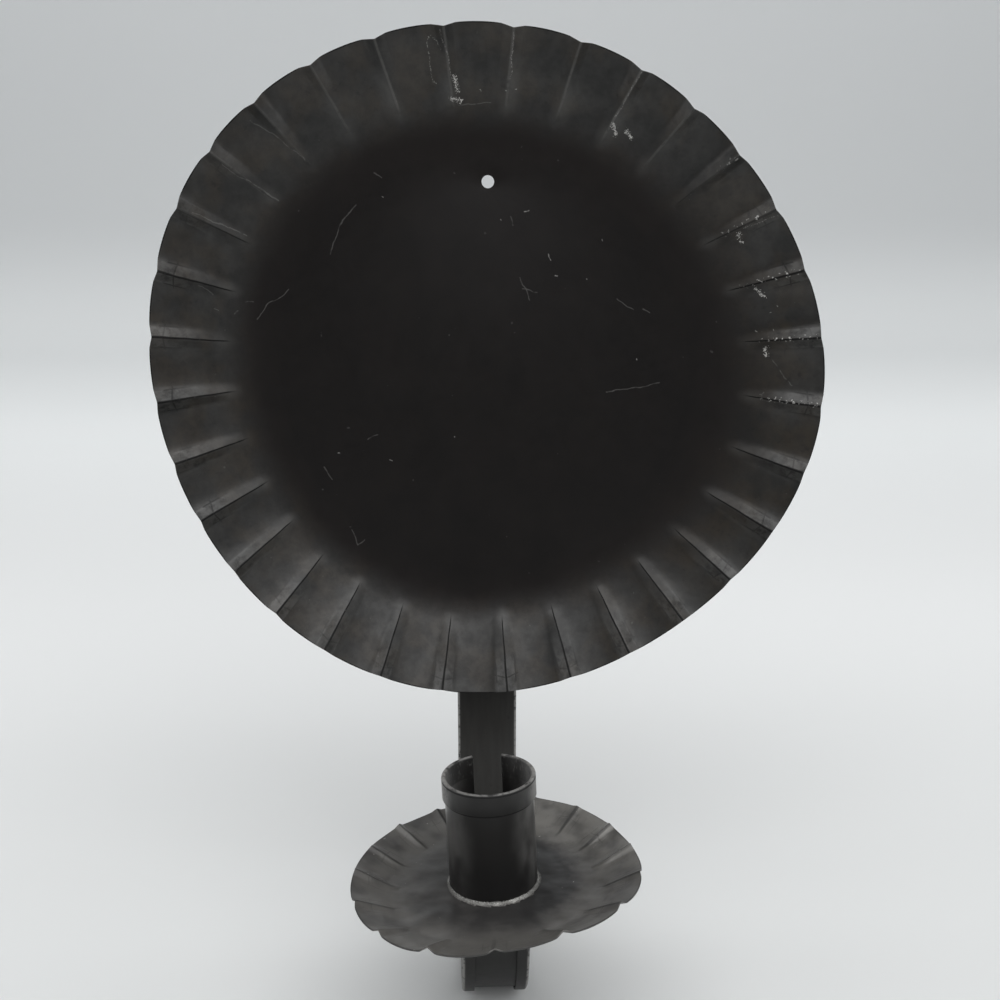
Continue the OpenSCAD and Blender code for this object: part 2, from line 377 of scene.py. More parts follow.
class ReflectorSheet(CrimpedSheet):
    crimps, first_crimp, drift = 32, 5.2, 2.3
    spacing = [(1, 1, 53), (0.2, 4, 22)]
    mean_radius, out_of_round = 95.75, 1.4
    outline = [(1, 2, 138), (0.9, 3, 6), (0.5, 4, -15), (0.2, 5, -9)]
    depth, wave, height_waves = 11.5, 0, []
    flat_radius, sheet = 62, 0.5
    crimp_length, crimp_height, notch, uneven = 21, 2.8, 1.3, 0.15
    steps_to_crest = 11


class PanSheet(CrimpedSheet):
    crimps, first_crimp, drift = 16, 2.4, 3.4
    spacing = [(1, 1, 30), (0.65, 2, -12), (0.55, 3, -42)]
    mean_radius, out_of_round = 39.25, 1.5
    outline = [(0.8, 2, 62), (1, 3, -25), (0.4, 4, -36)]
    depth, wave = 4.3, 1.1
    height_waves = [(0.9, 1, -90), (1, 2, 2), (0.5, 3, -48)]
    flat_radius, sheet = 24.5, 0.5
    crimp_length, crimp_height, notch, uneven = 11, 1.2, 0.6, 0.3
    steps_to_crest = 14


# %% [markdown]
# The sheet starts as a flat grid, as a strip of tin would. Its columns become lines from the flat
# to the rim, close together at a crest and wide apart between, and its rows become rings. A
# formula then carries each point to its place, which no tool for pushing points about would do
# as evenly. A map is kept on the way: across says how far a point lies from its crimp's crest,
# and inward how far it lies from the rim, and the finishes use both for wear and for painted
# highlights and shade.

# %% Place of a point
ROWS_OF_SLOPE = 7
ROWS_OF_CRIMP = 15
INSIDE_FLAT = 2.0
CREST_CROWDING = 1.75
CREST_ROUND = 0.025
FACET_STEPS = 6
FACET_SHARE = 0.55
NUMBER_STEP = 100


def rounded(u):
    """u, but with a small round at 0 so that a crest isn't a knife edge."""
    full = math.hypot(1, CREST_ROUND) - CREST_ROUND
    return (math.hypot(u, CREST_ROUND) - CREST_ROUND) / full


def column(sheet, k):
    """Angle, distance from the crest as a share, and the share of the next crimp, at column k."""
    lobe = 2 * sheet.steps_to_crest
    i, j = divmod(k, lobe)
    here = sheet.crimp_angle(i)
    there = sheet.crimp_angle(i + 1) if i + 1 < sheet.crimps else sheet.crimp_angle(0) + 360
    u = (min(j, lobe - j) / sheet.steps_to_crest) ** CREST_CROWDING
    share = u / 2 if j <= sheet.steps_to_crest else 1 - u / 2
    return here + (there - here) * share, u, i, share


def point(sheet, k, row):
    """Radius, angle and height of the sheet's front at a column and a row."""
    angle, u, i, share = column(sheet, k)
    blend = share * share * (3 - 2 * share)
    first, second = i % sheet.crimps, (i + 1) % sheet.crimps
    longer, higher = (
        (1 - blend) * struck(first, part) + blend * struck(second, part)
        for part in (sheet.uneven / 3, sheet.uneven)
    )
    reach = sheet.rim_radius(angle) - sheet.flat_radius
    start = 1 - sheet.crimp_length * longer / reach
    if row == 0:
        return sheet.flat_radius - INSIDE_FLAT, angle, 0
    if row < ROWS_OF_SLOPE:
        s, along = start * (row - 1) / (ROWS_OF_SLOPE - 1), 0
    else:
        last = ROWS_OF_CRIMP - 1
        along = min((row - ROWS_OF_SLOPE) / (last - 1), 1) ** 1.3
        if row == ROWS_OF_SLOPE + last - 1:
            along = 0.985
        s = start + along * (1 - start)
    facet = (FACET_STEPS / sheet.steps_to_crest) ** CREST_CROWDING
    pressed = max(0, 1 - rounded(u) / facet)
    ridge = FACET_SHARE * pressed + (1 - FACET_SHARE) * (1 - rounded(u)) ** 2.3
    lift = sheet.crimp_height * higher * along ** 0.65 * ridge
    radius = sheet.flat_radius + reach * s - sheet.notch * along * ridge
    return radius, angle, sheet.rim_height(angle) * sheet.rise(s) + lift


# %% Picking parts of a mesh in edit mode
def pick(kind, test):
    """Selects just the vertices, edges or faces of the open mesh that pass the test."""
    bpy.ops.mesh.select_mode(type=kind)
    bpy.ops.mesh.select_all(action="DESELECT")
    shape = bmesh.from_edit_mesh(bpy.context.edit_object.data)
    found = 0
    for part in {"VERT": shape.verts, "EDGE": shape.edges, "FACE": shape.faces}[kind]:
        if test(part):
            part.select_set(True)
            found += 1
    bmesh.update_edit_mesh(bpy.context.edit_object.data)
    return found


def radius_of(part, centre=(0, 0)):
    return max(math.hypot(v.co.x - centre[0], v.co.y - centre[1]) for v in part.verts)


def smooth(piece, degrees):
    bpy.ops.object.mode_set(mode="OBJECT")
    bpy.ops.object.select_all(action="DESELECT")
    piece.select_set(True)
    bpy.context.view_layer.objects.active = piece
    bpy.ops.object.shade_smooth_by_angle(angle=math.radians(degrees))
    shape = bmesh.new()
    shape.from_mesh(piece.data)
    open_edges = sum(not edge.is_manifold for edge in shape.edges)
    volume = shape.calc_volume(signed=True) / MM ** 3
    shape.free()
    print(f"{piece.name}: {len(piece.data.polygons)} faces, {volume:.1f} mm3, {open_edges} open edges")


# %% Shaping the sheet
EDGE_ROUND = 0.12
HOLE_SIDES = 48


def crimped_sheet(name, sheet, hole=None):
    """The dish as a closed sheet. hole is the place and radius of a round hole in its flat."""
    columns = 2 * sheet.steps_to_crest * sheet.crimps
    rows = ROWS_OF_SLOPE + ROWS_OF_CRIMP
    bpy.ops.object.select_all(action="DESELECT")
    bpy.ops.mesh.primitive_grid_add(x_subdivisions=columns, y_subdivisions=rows - 1, size=1, calc_uvs=False)
    piece = bpy.context.object
    piece.name = name
    crimp_map = piece.data.uv_layers.new(name="crimp_map")
    spots = [(round((v.co.x + 0.5) * columns), round((v.co.y + 0.5) * (rows - 1))) for v in piece.data.vertices]
    places = {spot: point(sheet, spot[0] % columns, spot[1]) for spot in set(spots)}
    for vertex, spot in zip(piece.data.vertices, spots):
        radius, angle, z = places[spot]
        turn = math.radians(angle)
        vertex.co = Vector((radius * math.cos(turn), radius * math.sin(turn), z + sheet.sheet)) * MM
    for face in piece.data.polygons:
        k = min(spots[v][0] for v in face.vertices)
        lobe = 2 * sheet.steps_to_crest
        number = (k + sheet.steps_to_crest) // lobe
        crest = sheet.crimp_angle(number % sheet.crimps)
        for corner, v in zip(face.loop_indices, face.vertices):
            radius, angle, z = places[spots[v]]
            off = (angle - crest + 180) % 360 - 180
            across = math.radians(off) * radius
            crimp_map.data[corner].uv = (across + NUMBER_STEP * (number % sheet.crimps + 1),
                                         sheet.rim_radius(angle) - radius)

    bpy.ops.object.mode_set(mode="EDIT")
    bpy.ops.mesh.select_all(action="SELECT")
    bpy.ops.mesh.remove_doubles(threshold=0.002 * MM)
    inner = (sheet.flat_radius - INSIDE_FLAT + 0.1) * MM
    if hole:
        place, hole_radius = hole
        bpy.ops.mesh.primitive_circle_add(
            vertices=HOLE_SIDES, radius=hole_radius * MM,
            location=Vector((*place, sheet.sheet)) * MM, calc_uvs=False,
        )
        pick("EDGE", lambda edge: radius_of(edge) < inner and not edge.is_manifold)
        bpy.ops.mesh.fill(use_beauty=True)
    else:
        pick("EDGE", lambda edge: radius_of(edge) < inner and edge.is_boundary)
        bpy.ops.mesh.edge_face_add()
    bpy.ops.mesh.select_all(action="SELECT")
    bpy.ops.mesh.normals_make_consistent(inside=False)
    bpy.ops.mesh.extrude_region_move(TRANSFORM_OT_translate={"value": (0, 0, -sheet.sheet * MM)})
    bpy.ops.mesh.select_all(action="SELECT")
    bpy.ops.mesh.normals_make_consistent(inside=False)

    crimped_from = (sheet.flat_radius + 5) * MM

    def cut_edge(edge):
        if len(edge.link_faces) != 2 or edge.calc_face_angle() < math.radians(35):
            return False
        if radius_of(edge) < crimped_from:
            return True
        a, b = edge.verts
        outwards = ((a.co + b.co) / 2).xy.normalized()
        return abs((a.co - b.co).xy.normalized().dot(outwards)) < 0.5 and edge_is_on_wall(edge)

    def edge_is_on_wall(edge):
        return any(abs(face.normal.z) < 0.2 for face in edge.link_faces)

    pick("EDGE", cut_edge)
    bpy.ops.mesh.bevel(offset=EDGE_ROUND * MM, segments=2, affect="EDGES", clamp_overlap=True)
    bpy.ops.object.mode_set(mode="OBJECT")
    crimp_map = piece.data.uv_layers["crimp_map"]
    for face in piece.data.polygons:
        if all(piece.data.vertices[v].co.xy.length < inner for v in face.vertices):
            for corner in face.loop_indices:
                crimp_map.data[corner].uv = (NUMBER_STEP / 2, sheet.mean_radius - sheet.flat_radius + INSIDE_FLAT)
    smooth(piece, 80)
    return piece


def settle(piece, place):
    """Puts a finished piece in its place, and keeps the place in its mesh."""
    bpy.ops.object.select_all(action="DESELECT")
    piece.select_set(True)
    bpy.context.view_layer.objects.active = piece
    piece.matrix_world = place
    bpy.ops.object.transform_apply(location=True, rotation=True, scale=True)


# %% [markdown]
# The nail hole was punched a little to one side of the middle, so the whole sconce lies 0.6 mm to
# the left of the hole, which is the origin. The reflector is turned up to face the room.

# %% Reflector
MIDDLE_X = -0.6
NAIL_UP = 54.2
NAIL_RADIUS = 1.8

reflector = crimped_sheet("reflector_sheet", ReflectorSheet(), hole=((-MIDDLE_X, NAIL_UP), NAIL_RADIUS))
settle(reflector, Matrix.Translation(Vector((MIDDLE_X, 0, -NAIL_UP)) * MM) @ Matrix.Rotation(math.pi / 2, 4, "X"))
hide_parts("reflector")
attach(reflector, "root")

# %% [markdown]
# The drip pan and the socket lean a little to the left together, as the strap under them does.
# One matrix holds that lean, and everything that stands on the strap's end is placed by it.

# %% Drip pan
ARM_BEND_RADIUS = 31.3
LEAN = 2.5
LEAN_UP = 1
SPRING_Z = -199.5
RISE = 15.8
PAN_SHIFT = 0.6
FLOOR_UP = RISE - LEAN_UP
PAN_SHEET = 0.5
UNDER_UP = FLOOR_UP - PAN_SHEET

leaning = (
    Matrix.Translation(Vector((MIDDLE_X, -2 * ARM_BEND_RADIUS, SPRING_Z + LEAN_UP)) * MM)
    @ Matrix.Rotation(math.radians(-LEAN), 4, "Y")
)
pan = crimped_sheet("pan_sheet", PanSheet())
settle(pan, leaning @ Matrix.Translation(Vector((PAN_SHIFT, 0, UNDER_UP)) * MM))
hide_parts("drip_pan")
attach(pan, "root")

# %% [markdown]
# The socket is a strip rolled round a former, with its top edge folded over outwards and pressed
# down, so that no raw edge meets the hand. The cross-section is drawn first: a thin rectangle
# whose top edge is spun half a turn, which is the fold, and pulled down, which is the lip. Then
# the section is spun round the candle's axis, all but the open seam at the back.

# %% A rectangle to start a section from
def section(name, centre, width, height, turn):
    """A flat rectangle as a new piece, left in edit mode with nothing selected."""
    bpy.ops.object.select_all(action="DESELECT")
    bpy.ops.mesh.primitive_plane_add(size=1, location=Vector(centre) * MM, rotation=turn, calc_uvs=False)
    piece = bpy.context.object
    piece.name = name
    piece.scale = (width * MM, height * MM, 1)
    bpy.ops.object.transform_apply(location=True, rotation=True, scale=True)
    bpy.ops.object.mode_set(mode="EDIT")
    bpy.ops.mesh.select_all(action="DESELECT")
    return piece


def ends_at(axis, value):
    """A test for edges that lie at one value of an axis, in millimetres."""
    return lambda edge: all(abs(v.co[axis] / MM - value) < 0.01 for v in edge.verts)


# %% Candle socket
SOCKET_RADIUS = 11.25
SOCKET_SHEET = 0.6
SOCKET_HEIGHT = 31.5
LIP_HEIGHT = 5.9
LIP_GAP = 0.03
SEAM_WIDTH = 8
SOCKET_STEPS = 150

outer = SOCKET_RADIUS + SOCKET_SHEET
wall_top = SOCKET_HEIGHT - SOCKET_SHEET
seam_angle = 2 * math.asin(SEAM_WIDTH / 2 / outer)
socket = section(
    "socket_tube", (SOCKET_RADIUS + SOCKET_SHEET / 2, 0, wall_top / 2), SOCKET_SHEET, wall_top,
    (math.pi / 2, 0, 0),
)
pick("EDGE", ends_at(2, wall_top))
bpy.ops.mesh.spin(
    steps=8, angle=math.pi, center=Vector((outer + LIP_GAP, 0, wall_top)) * MM, axis=(0, -1, 0)
)
bpy.ops.mesh.extrude_edges_move(
    TRANSFORM_OT_translate={"value": (0, 0, (SOCKET_SHEET - LIP_HEIGHT) * MM)}
)
shape_top = max(v.co.z for v in bmesh.from_edit_mesh(socket.data).verts) / MM
print("the socket's section reaches", round(shape_top, 2), "mm, and should reach", SOCKET_HEIGHT)
bpy.ops.mesh.select_all(action="SELECT")
bpy.ops.mesh.spin(steps=SOCKET_STEPS, angle=2 * math.pi - seam_angle, center=(0, 0, 0), axis=(0, 0, -1))
bpy.ops.mesh.select_all(action="SELECT")
bpy.ops.mesh.normals_make_consistent(inside=False)
pick("EDGE", lambda e: len(e.link_faces) == 2 and e.calc_face_angle() > math.radians(50))
bpy.ops.mesh.bevel(offset=0.1 * MM, segments=2, affect="EDGES", clamp_overlap=True)
smooth(socket, 50)
settle(
    socket,
    leaning @ Matrix.Translation(Vector((0, 0, FLOOR_UP)) * MM)
    @ Matrix.Rotation(math.pi / 2 + seam_angle / 2, 4, "Z"),
)
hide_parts("candle_socket")
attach(socket, "root")

# %% [markdown]
# The strap is made as the tinsmith made it. A narrow web gets a hem on each side: the edge runs
# on, is spun half a turn and comes back over itself. That section is pulled down the reflector's
# back, spun half a turn for the J, bent a few degrees in its own plane and pulled up. At the top
# only the web goes on, through a quarter turn, to the tab under the pan.

# %% Strap
ARM_WIDTH = 18.5
ARM_SHEET = 0.7
HEM_WIDTH = 3.5
HEM_GAP = 0.3
ARM_TOP_Z = 18 - NAIL_UP
TAB_LENGTH = 14
TAB_BEND_RADIUS = 1.2

hem_thick = 2 * ARM_SHEET + HEM_GAP
fold_x = (ARM_WIDTH - hem_thick) / 2
web_width = ARM_WIDTH - 2 * HEM_WIDTH
strap = section("strap", (MIDDLE_X, ARM_SHEET / 2, ARM_TOP_Z), web_width, ARM_SHEET, (0, 0, 0))
for side in (-1, 1):
    pick("EDGE", ends_at(0, MIDDLE_X + side * web_width / 2))
    bpy.ops.mesh.extrude_edges_move(
        TRANSFORM_OT_translate={"value": (side * (fold_x - web_width / 2) * MM, 0, 0)}
    )
    bpy.ops.mesh.spin(
        steps=10, angle=math.pi, center=Vector((MIDDLE_X + side * fold_x, hem_thick / 2, ARM_TOP_Z)) * MM,
        axis=(0, 0, -side),
    )
    bpy.ops.mesh.extrude_edges_move(
        TRANSFORM_OT_translate={"value": (-side * (HEM_WIDTH - hem_thick / 2) * MM, 0, 0)}
    )
bpy.ops.mesh.select_all(action="SELECT")
leg = (SPRING_Z - ARM_TOP_Z) / 12
for i in range(12):
    bpy.ops.mesh.extrude_region_move(TRANSFORM_OT_translate={"value": (0, 0, leg * MM)})
bpy.ops.mesh.spin(
    steps=60, angle=math.pi, center=Vector((MIDDLE_X, -ARM_BEND_RADIUS, SPRING_Z)) * MM, axis=(1, 0, 0)
)
lean_radius = LEAN_UP / math.tan(math.radians(LEAN / 2))
bpy.ops.mesh.spin(
    steps=2, angle=math.radians(LEAN),
    center=Vector((MIDDLE_X - lean_radius, 0, SPRING_Z)) * MM, axis=(0, 1, 0),
)
tab_bend_up = UNDER_UP - ARM_SHEET - TAB_BEND_RADIUS
up = leaning.to_3x3() @ Vector((0, 0, (tab_bend_up - LEAN_UP) * MM))
bpy.ops.mesh.extrude_region_move(TRANSFORM_OT_translate={"value": up})
shape = bmesh.from_edit_mesh(strap.data)
web_end = min(
    (face for face in shape.faces if face.select),
    key=lambda face: (leaning.inverted() @ face.calc_center_median()).x ** 2,
)
web_spot = web_end.calc_center_median()
pick("FACE", lambda face: (face.calc_center_median() - web_spot).length < 0.01 * MM)
bpy.ops.mesh.spin(
    steps=8, angle=math.pi / 2,
    center=leaning @ (Vector((0, TAB_BEND_RADIUS, tab_bend_up)) * MM),
    axis=leaning.to_3x3() @ Vector((1, 0, 0)),
)
bpy.ops.mesh.extrude_region_move(TRANSFORM_OT_translate={"value": (0, (TAB_LENGTH - TAB_BEND_RADIUS) * MM, 0)})
bpy.ops.mesh.select_all(action="SELECT")
bpy.ops.mesh.normals_make_consistent(inside=False)
pick("EDGE", lambda e: len(e.link_faces) == 2 and e.calc_face_angle() > math.radians(50))
bpy.ops.mesh.bevel(offset=0.12 * MM, segments=2, affect="EDGES", clamp_overlap=True)
smooth(strap, 50)
strap_box = [Vector(c) for c in strap.bound_box]
print("the strap spans", [[round(f(c[i] for c in strap_box) / MM, 2) for i in range(3)] for f in (min, max)])
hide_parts("arm")
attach(strap, "root")

# %% [markdown]
# Solder flows into a corner and freezes with a lumpy skin. Each run starts as a copy of the
# frame's plain fillet, which is merged, remeshed into small even faces and pushed in and out by
# a cloudy noise.

# %% Solder
BEAD_VOXEL = 0.17
LUMP_SIZE = 0.8
LUMP_HEIGHT = 0.1

lumps = bpy.data.textures.new("lumps", "CLOUDS")
lumps.noise_scale = LUMP_SIZE * MM
lumps.noise_depth = 2


def bead(node):
    bpy.ops.object.select_all(action="DESELECT")
    piece = bpy.data.objects.new(node + "_bead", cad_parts[node].data.copy())
    piece.data.materials.clear()
    bpy.context.scene.collection.objects.link(piece)
    piece.select_set(True)
    bpy.context.view_layer.objects.active = piece
    bpy.ops.object.mode_set(mode="EDIT")
    bpy.ops.mesh.select_all(action="SELECT")
    bpy.ops.mesh.remove_doubles(threshold=0.001 * MM)
    bpy.ops.object.mode_set(mode="OBJECT")
    remesh = piece.modifiers.new("even_faces", "REMESH")
    remesh.mode = "VOXEL"
    remesh.voxel_size = BEAD_VOXEL * MM
    push = piece.modifiers.new("lumps", "DISPLACE")
    push.texture = lumps
    push.texture_coords = "LOCAL"
    push.strength = LUMP_HEIGHT * MM
    push.mid_level = 0.75
    for modifier in ("even_faces", "lumps"):
        bpy.ops.object.modifier_apply(modifier=modifier)
    smooth(piece, 180)
    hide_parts(node)
    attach(piece, "root")
    return piece


beads = [
    bead(node) for node in
    ("socket_solder", "pan_solder", "strap_solder_top", "strap_solder_left", "strap_solder_right")
]

# %% [markdown]
# Some of the lighter and darker marks are painted highlights, reflections and shade as well, and are named so
# where they are drawn.
# Now the finishes. All the tin was painted black long ago, and the paint has gone brown-black,
# dry and a little uneven. A flat colour would look like plastic, so each finish is built up in
# the order of the object's life: the paint and its texture, then dirt and rubbing, then the
# places where the paint has chipped and the tin shows.
#
# On the crimped sheets most wear follows the crimps. It is drawn on the map that was made with
# the sheet: across is the distance from the crest, inward the distance from the rim, and the
# crimp's own number seeds a random value, so that no two crimps wear alike.

# %% Reading the crimps' map
TIN = (0.52, 0.51, 0.49, 1)
# a near black for soot and dirt, and also for painted shade
SOOT_AND_SHADE = (0.003, 0.003, 0.003, 1)


def crimp_places(finish):
    """Across and inward in millimetres, and a random value for each crimp."""
    along, inward, _ = finish.parts(finish.add("UVMap", {"uv_map": "crimp_map"}, {}))
    shifted = along + NUMBER_STEP / 2
    across = finish.math("MODULO", shifted, NUMBER_STEP) - NUMBER_STEP / 2
    number = finish.math("FLOOR", shifted / NUMBER_STEP)
    luck = finish.add("TexWhiteNoise", {"noise_dimensions": "1D"}, {"W": number})
    return across, inward, luck


# %% [markdown]
# The plier that struck each crimp left its own print: two faint lines along the crimp, where the
# jaw's sides were, and a line across, where its end was. They are shallow, so they are a bump and
# a trace of dirt, and not geometry. At its inner end the pinched ridge stops in a small knob.

# %% Prints of the plier
JAW_HALF = 2.9
JAW_END = 3.1
JAW_LENGTH = 9.0


def jaw_print(finish, across, inward, luck):
    """1 on the lines that the plier's jaws pressed in."""
    off = abs(across)
    sides = finish.step(abs(off - JAW_HALF), 0.3, 0.1) * finish.step(inward, JAW_LENGTH + 2, JAW_LENGTH - 4)
    sides = sides * finish.step(inward, JAW_END - 0.5, JAW_END)
    end_line = finish.step(abs(inward - JAW_END - 2.4 * luck), 0.3, 0.1)
    end_line = end_line * finish.step(off, JAW_HALF + 1.2, JAW_HALF)
    return finish.most(sides, end_line)


# %% [markdown]
# Scratches and chips are single events, so they are placed one by one, as short straight
# lines on the reflector's face. A little wandering bends them, and a fine noise breaks up the
# chips' outlines.

# %% Marks on the reflector, as x and z in millimetres
HAIRLINES = [
    ((-45.3, -19.8), (-42.2, -12.0)), ((-42.2, -12.0), (-37.2, -6.2)), ((35.0, -60.4), (46.1, -58.9)),
    ((-66.9, -38.2), (-63.0, -33.9)), ((-63.0, -33.9), (-57.4, -30.2)), ((37.7, -33.2), (42.8, -36.3)),
    ((-41.4, -101.9), (-39.4, -106.4)), ((-39.4, -106.4), (-37.8, -105.1)), ((-49.1, -82.4), (-46.9, -86.1)),
    ((46.1, -58.9), (50.8, -57.7)), ((45.4, -36.0), (47.5, -36.9)), ((9.3, -27.0), (11.9, -33.0)),
    ((9.9, -30.1), (13.9, -31.0)), ((6.6, -9.8), (7.3, -11.7)), ((-35.8, -74.0), (-32.9, -73.1)),
    ((-64.6, 15.8), (-50.2, 5.7)), ((-81.4, -8.4), (-68.3, -14.7)), ((-72.8, 4.1), (-59.0, -5.1)),
    ((-7.8, 20.3), (0.6, 21.1)), ((-32.2, 2.6), (-30.0, 1.0)), ((81.4, -48.9), (88.7, -57.9)),
    ((-81.1, -28.6), (-77.9, -31.0)), ((-78.1, -35.2), (-77.1, -35.8)), ((-73.0, -36.5), (-71.9, -36.0)),
    ((-69.6, -33.4), (-67.8, -33.4)), ((80.4, -61.4), (81.1, -59.9)),
]
WORN_LINES = [
    ((-12.9, 39.0), (-9.2, 24.4)), ((6.3, 38.2), (6.1, 27.0)), ((41.2, 28.5), (34.9, 16.6)),
    ((-16.9, 36.1), (-15.7, 26.8)), ((-15.7, 26.8), (-14.1, 25.8)), ((71.6, -13.1), (80.6, -9.2)),
    ((-16.9, 36.1), (-15.6, 38.0)), ((-15.6, 38.0), (-13.6, 36.4)), ((-13.6, 36.4), (-13.1, 34.0)),
]
CHIPS = [
    ((-9.2, 27.9), (-8.6, 23.9)), ((-10.6, 22.1), (-7.2, 21.3)),
    ((34.7, 15.6), (35.7, 13.0)), ((38.1, 13.7), (40.2, 11.9)), ((70.9, -14.5), (72.1, -16.5)),
    ((80.8, -46.9), (81.4, -49.2)), ((77.0, -29.8), (79.8, -32.0)),
]
SPECKS = [
    ((-29.5, -80.4), (-28.9, -80.8)), ((-30.1, -4.0), (-29.7, -4.2)), ((-44.8, -78.2), (-44.2, -78.2)),
    ((17.6, -20.2), (18.5, -22.2)), ((33.2, -16.0), (33.4, -16.5)), ((4.4, 24.2), (4.7, 24.2)),
    ((7.4, 24.5), (7.7, 24.5)), ((-2.2, 24.2), (-2.0, 23.9)), ((-10.3, -73.6), (-10.2, -73.8)),
    ((19.1, -26.3), (20.0, -26.3)), ((28.8, -27.3), (28.9, -27.5)), ((44.0, -50.6), (44.2, -50.8)),
    ((83.1, -34.8), (83.4, -35.1)), ((81.4, -36.6), (81.7, -36.6)), ((82.3, -41.5), (82.4, -41.8)),
    ((77.8, -42.3), (78.0, -42.6)), ((10.5, -8.1), (11.6, -7.7)), ((3.3, -10.3), (3.6, -10.6)),
]


def on_face(line):
    return [(x, 0, z) for x, z in line]


# %% Reflector's paint
flat_tone = (0.0046, 0.0043, 0.0043, 1)
flat_sheen_tone = (0.0105, 0.0089, 0.0084, 1)
dry_paint_and_sheen_tone = (0.0120, 0.0120, 0.0116, 1)
flare_paint_and_sheen_tone = (0.0185, 0.0177, 0.0164, 1)
brown_tone = (0.0215, 0.0170, 0.0120, 1)
rubbed_and_highlight_tone = (0.075, 0.0725, 0.068, 1)

paint = Finish("reflector_paint")
place = paint.place()
across, inward, luck = crimp_places(paint)
normal_y = paint.parts(paint.add("NewGeometry", {}, {}, "Normal"))[1]
front = paint.step(normal_y, -0.1, -0.35)
face = paint.stretch(paint.wander(place, 5, 2.2), (1, 0, 1))
clouds = paint.noise(place, 12, detail=3, roughness=0.6)
grime = paint.noise(place, 2.6, detail=4, roughness=0.65)
grain = paint.noise(place, 0.8, detail=1)

out_right, _, height_up = paint.parts(place)
flare = paint.step(inward + 8 * clouds, 34, 20 - 8 * paint.step(out_right, 0, 70))
# the crimped rim is painted lighter than the flat: partly rubbed and brown paint, partly painted sheen
rim_paint_and_sheen = paint.mix(paint.step(clouds, 0.3, 0.7), dry_paint_and_sheen_tone, flare_paint_and_sheen_tone)
mottle = paint.step(paint.noise(place, 3.2, detail=4, roughness=0.7), 0.34, 0.66)
rim_paint_and_sheen = paint.mix(paint.step(paint.noise(place, 11), 0.4, 0.62) * (0.4 + 0.5 * mottle), rim_paint_and_sheen, brown_tone)
# painted reflection: the flat is painted lighter towards its rim and towards its top
flat_sheen = paint.step(inward + 20 * clouds, 62, 30) + 0.4 * paint.step(height_up, -20, 20)
tone = paint.mix(flat_sheen, flat_tone, flat_sheen_tone)
tone = paint.mix(flare, tone, rim_paint_and_sheen)
tone = paint.mix(paint.step(grime, 0.44, 0.3) * flare * 0.5, tone, flat_tone)
lower = paint.step(height_up, 15, -30)
# rubbed paint in the jaw prints, stronger low down, which is also a painted highlight on the flanks
pressed = paint.step(abs(across), JAW_HALF + 0.3, JAW_HALF - 0.3) * paint.step(inward, JAW_LENGTH + 7, 2)
pressed = pressed * paint.step(grime, 0.34, 0.6) * (0.2 + 0.8 * lower)
# the knob at each crimp's inner end: a raised bump, and a painted highlight in the colour
knob_place = paint.math("SQRT", across * across + (inward - 19.5) * (inward - 19.5) * 0.4)
knob_and_highlight = paint.step(knob_place + 2 * clouds, 4.2, 0.6) * (0.3 + 0.7 * luck)
# painted highlight: a pale band along the outer side of each crest in the upper half of the dish
outer = across * (1 - 2 * paint.step(out_right, -1, 1))
shoulder_highlight = paint.step(outer, 5, 0.5) * paint.step(outer, -0.9, 0.1) * paint.step(abs(across), 5, 4)
shoulder_highlight = shoulder_highlight * paint.step(inward, 25, 17) * paint.step(inward, 4, 15) * paint.step(height_up, -10, 20)
shoulder_highlight = shoulder_highlight * (0.3 + 0.7 * luck)
ridge = abs(across + 0.6 * clouds - 0.3)
crest = paint.step(ridge, 0.5, 0.15) * paint.step(inward, 23, 18) * (1 - lower) * paint.step(grime, 0.25, 0.5)
# worn crests and rubbed prints, together with the painted highlights of prints, knobs and shoulders
handled_and_highlight = paint.most(pressed * 0.25, knob_and_highlight * 0.3, shoulder_highlight * 0.22, crest * (0.2 + 0.6 * luck))
tone = paint.mix(handled_and_highlight, tone, rubbed_and_highlight_tone)

# dirt and painted shade in the crease along each crest, stronger low down on the dish
thin = 0.5 - 0.013 * inward
crease_dirt_and_shade = paint.step(ridge, thin, thin * 0.4) * paint.step(inward, 22, 19)
crease_dirt_and_shade = crease_dirt_and_shade * (0.08 + 0.92 * lower) * paint.step(grime, 0.2, 0.42)
# painted shade: a thin dark line along the rim's edge
rim_shade_line = paint.step(inward, 0.5, 0.25)
prints = jaw_print(paint, across, inward, luck) * (0.2 + 0.8 * luck) * (0.2 + 0.8 * lower) * front
# dirt in the jaw prints, with the painted shade of the creases and the rim line
dirt_and_shade = paint.most(crease_dirt_and_shade * 0.9, rim_shade_line * 0.8, prints * 0.5)
tone = paint.mix(dirt_and_shade, tone, SOOT_AND_SHADE)

hair = paint.step(paint.nearest(face, map(on_face, HAIRLINES)), 0.22, 0.04) * front
hair = hair * paint.step(grime, 0.32, 0.52)
flakes = paint.noise(place, 0.36, detail=2, roughness=0.6)
worn = paint.step(paint.nearest(face, map(on_face, WORN_LINES)) + 1.5 * flakes, 0.86, 0.6) * front
chip = paint.step(paint.nearest(face, map(on_face, CHIPS)) + 4 * flakes, 2.3, 2.0) * front
speck = paint.step(paint.nearest(face, map(on_face, SPECKS)) + 0.5 * flakes, 0.44, 0.26) * front
peeled = paint.step(paint.noise(place, 0.9, detail=3), 0.6, 0.67) * paint.step(abs(across - 0.2), 1.1, 0.6)
peeled = peeled * paint.step(inward, 19, 14) * paint.step(out_right, 62, 70) * front
peeled = peeled * paint.step(height_up, -68, -60)
motes = paint.step(paint.noise(place, 1.7, detail=1), 0.79, 0.84) * front
bare = paint.most(hair * 0.09, worn * 0.3, chip * 0.85, speck * 0.32, peeled * 0.6, motes * 0.05)
tone = paint.mix(bare, tone, TIN)

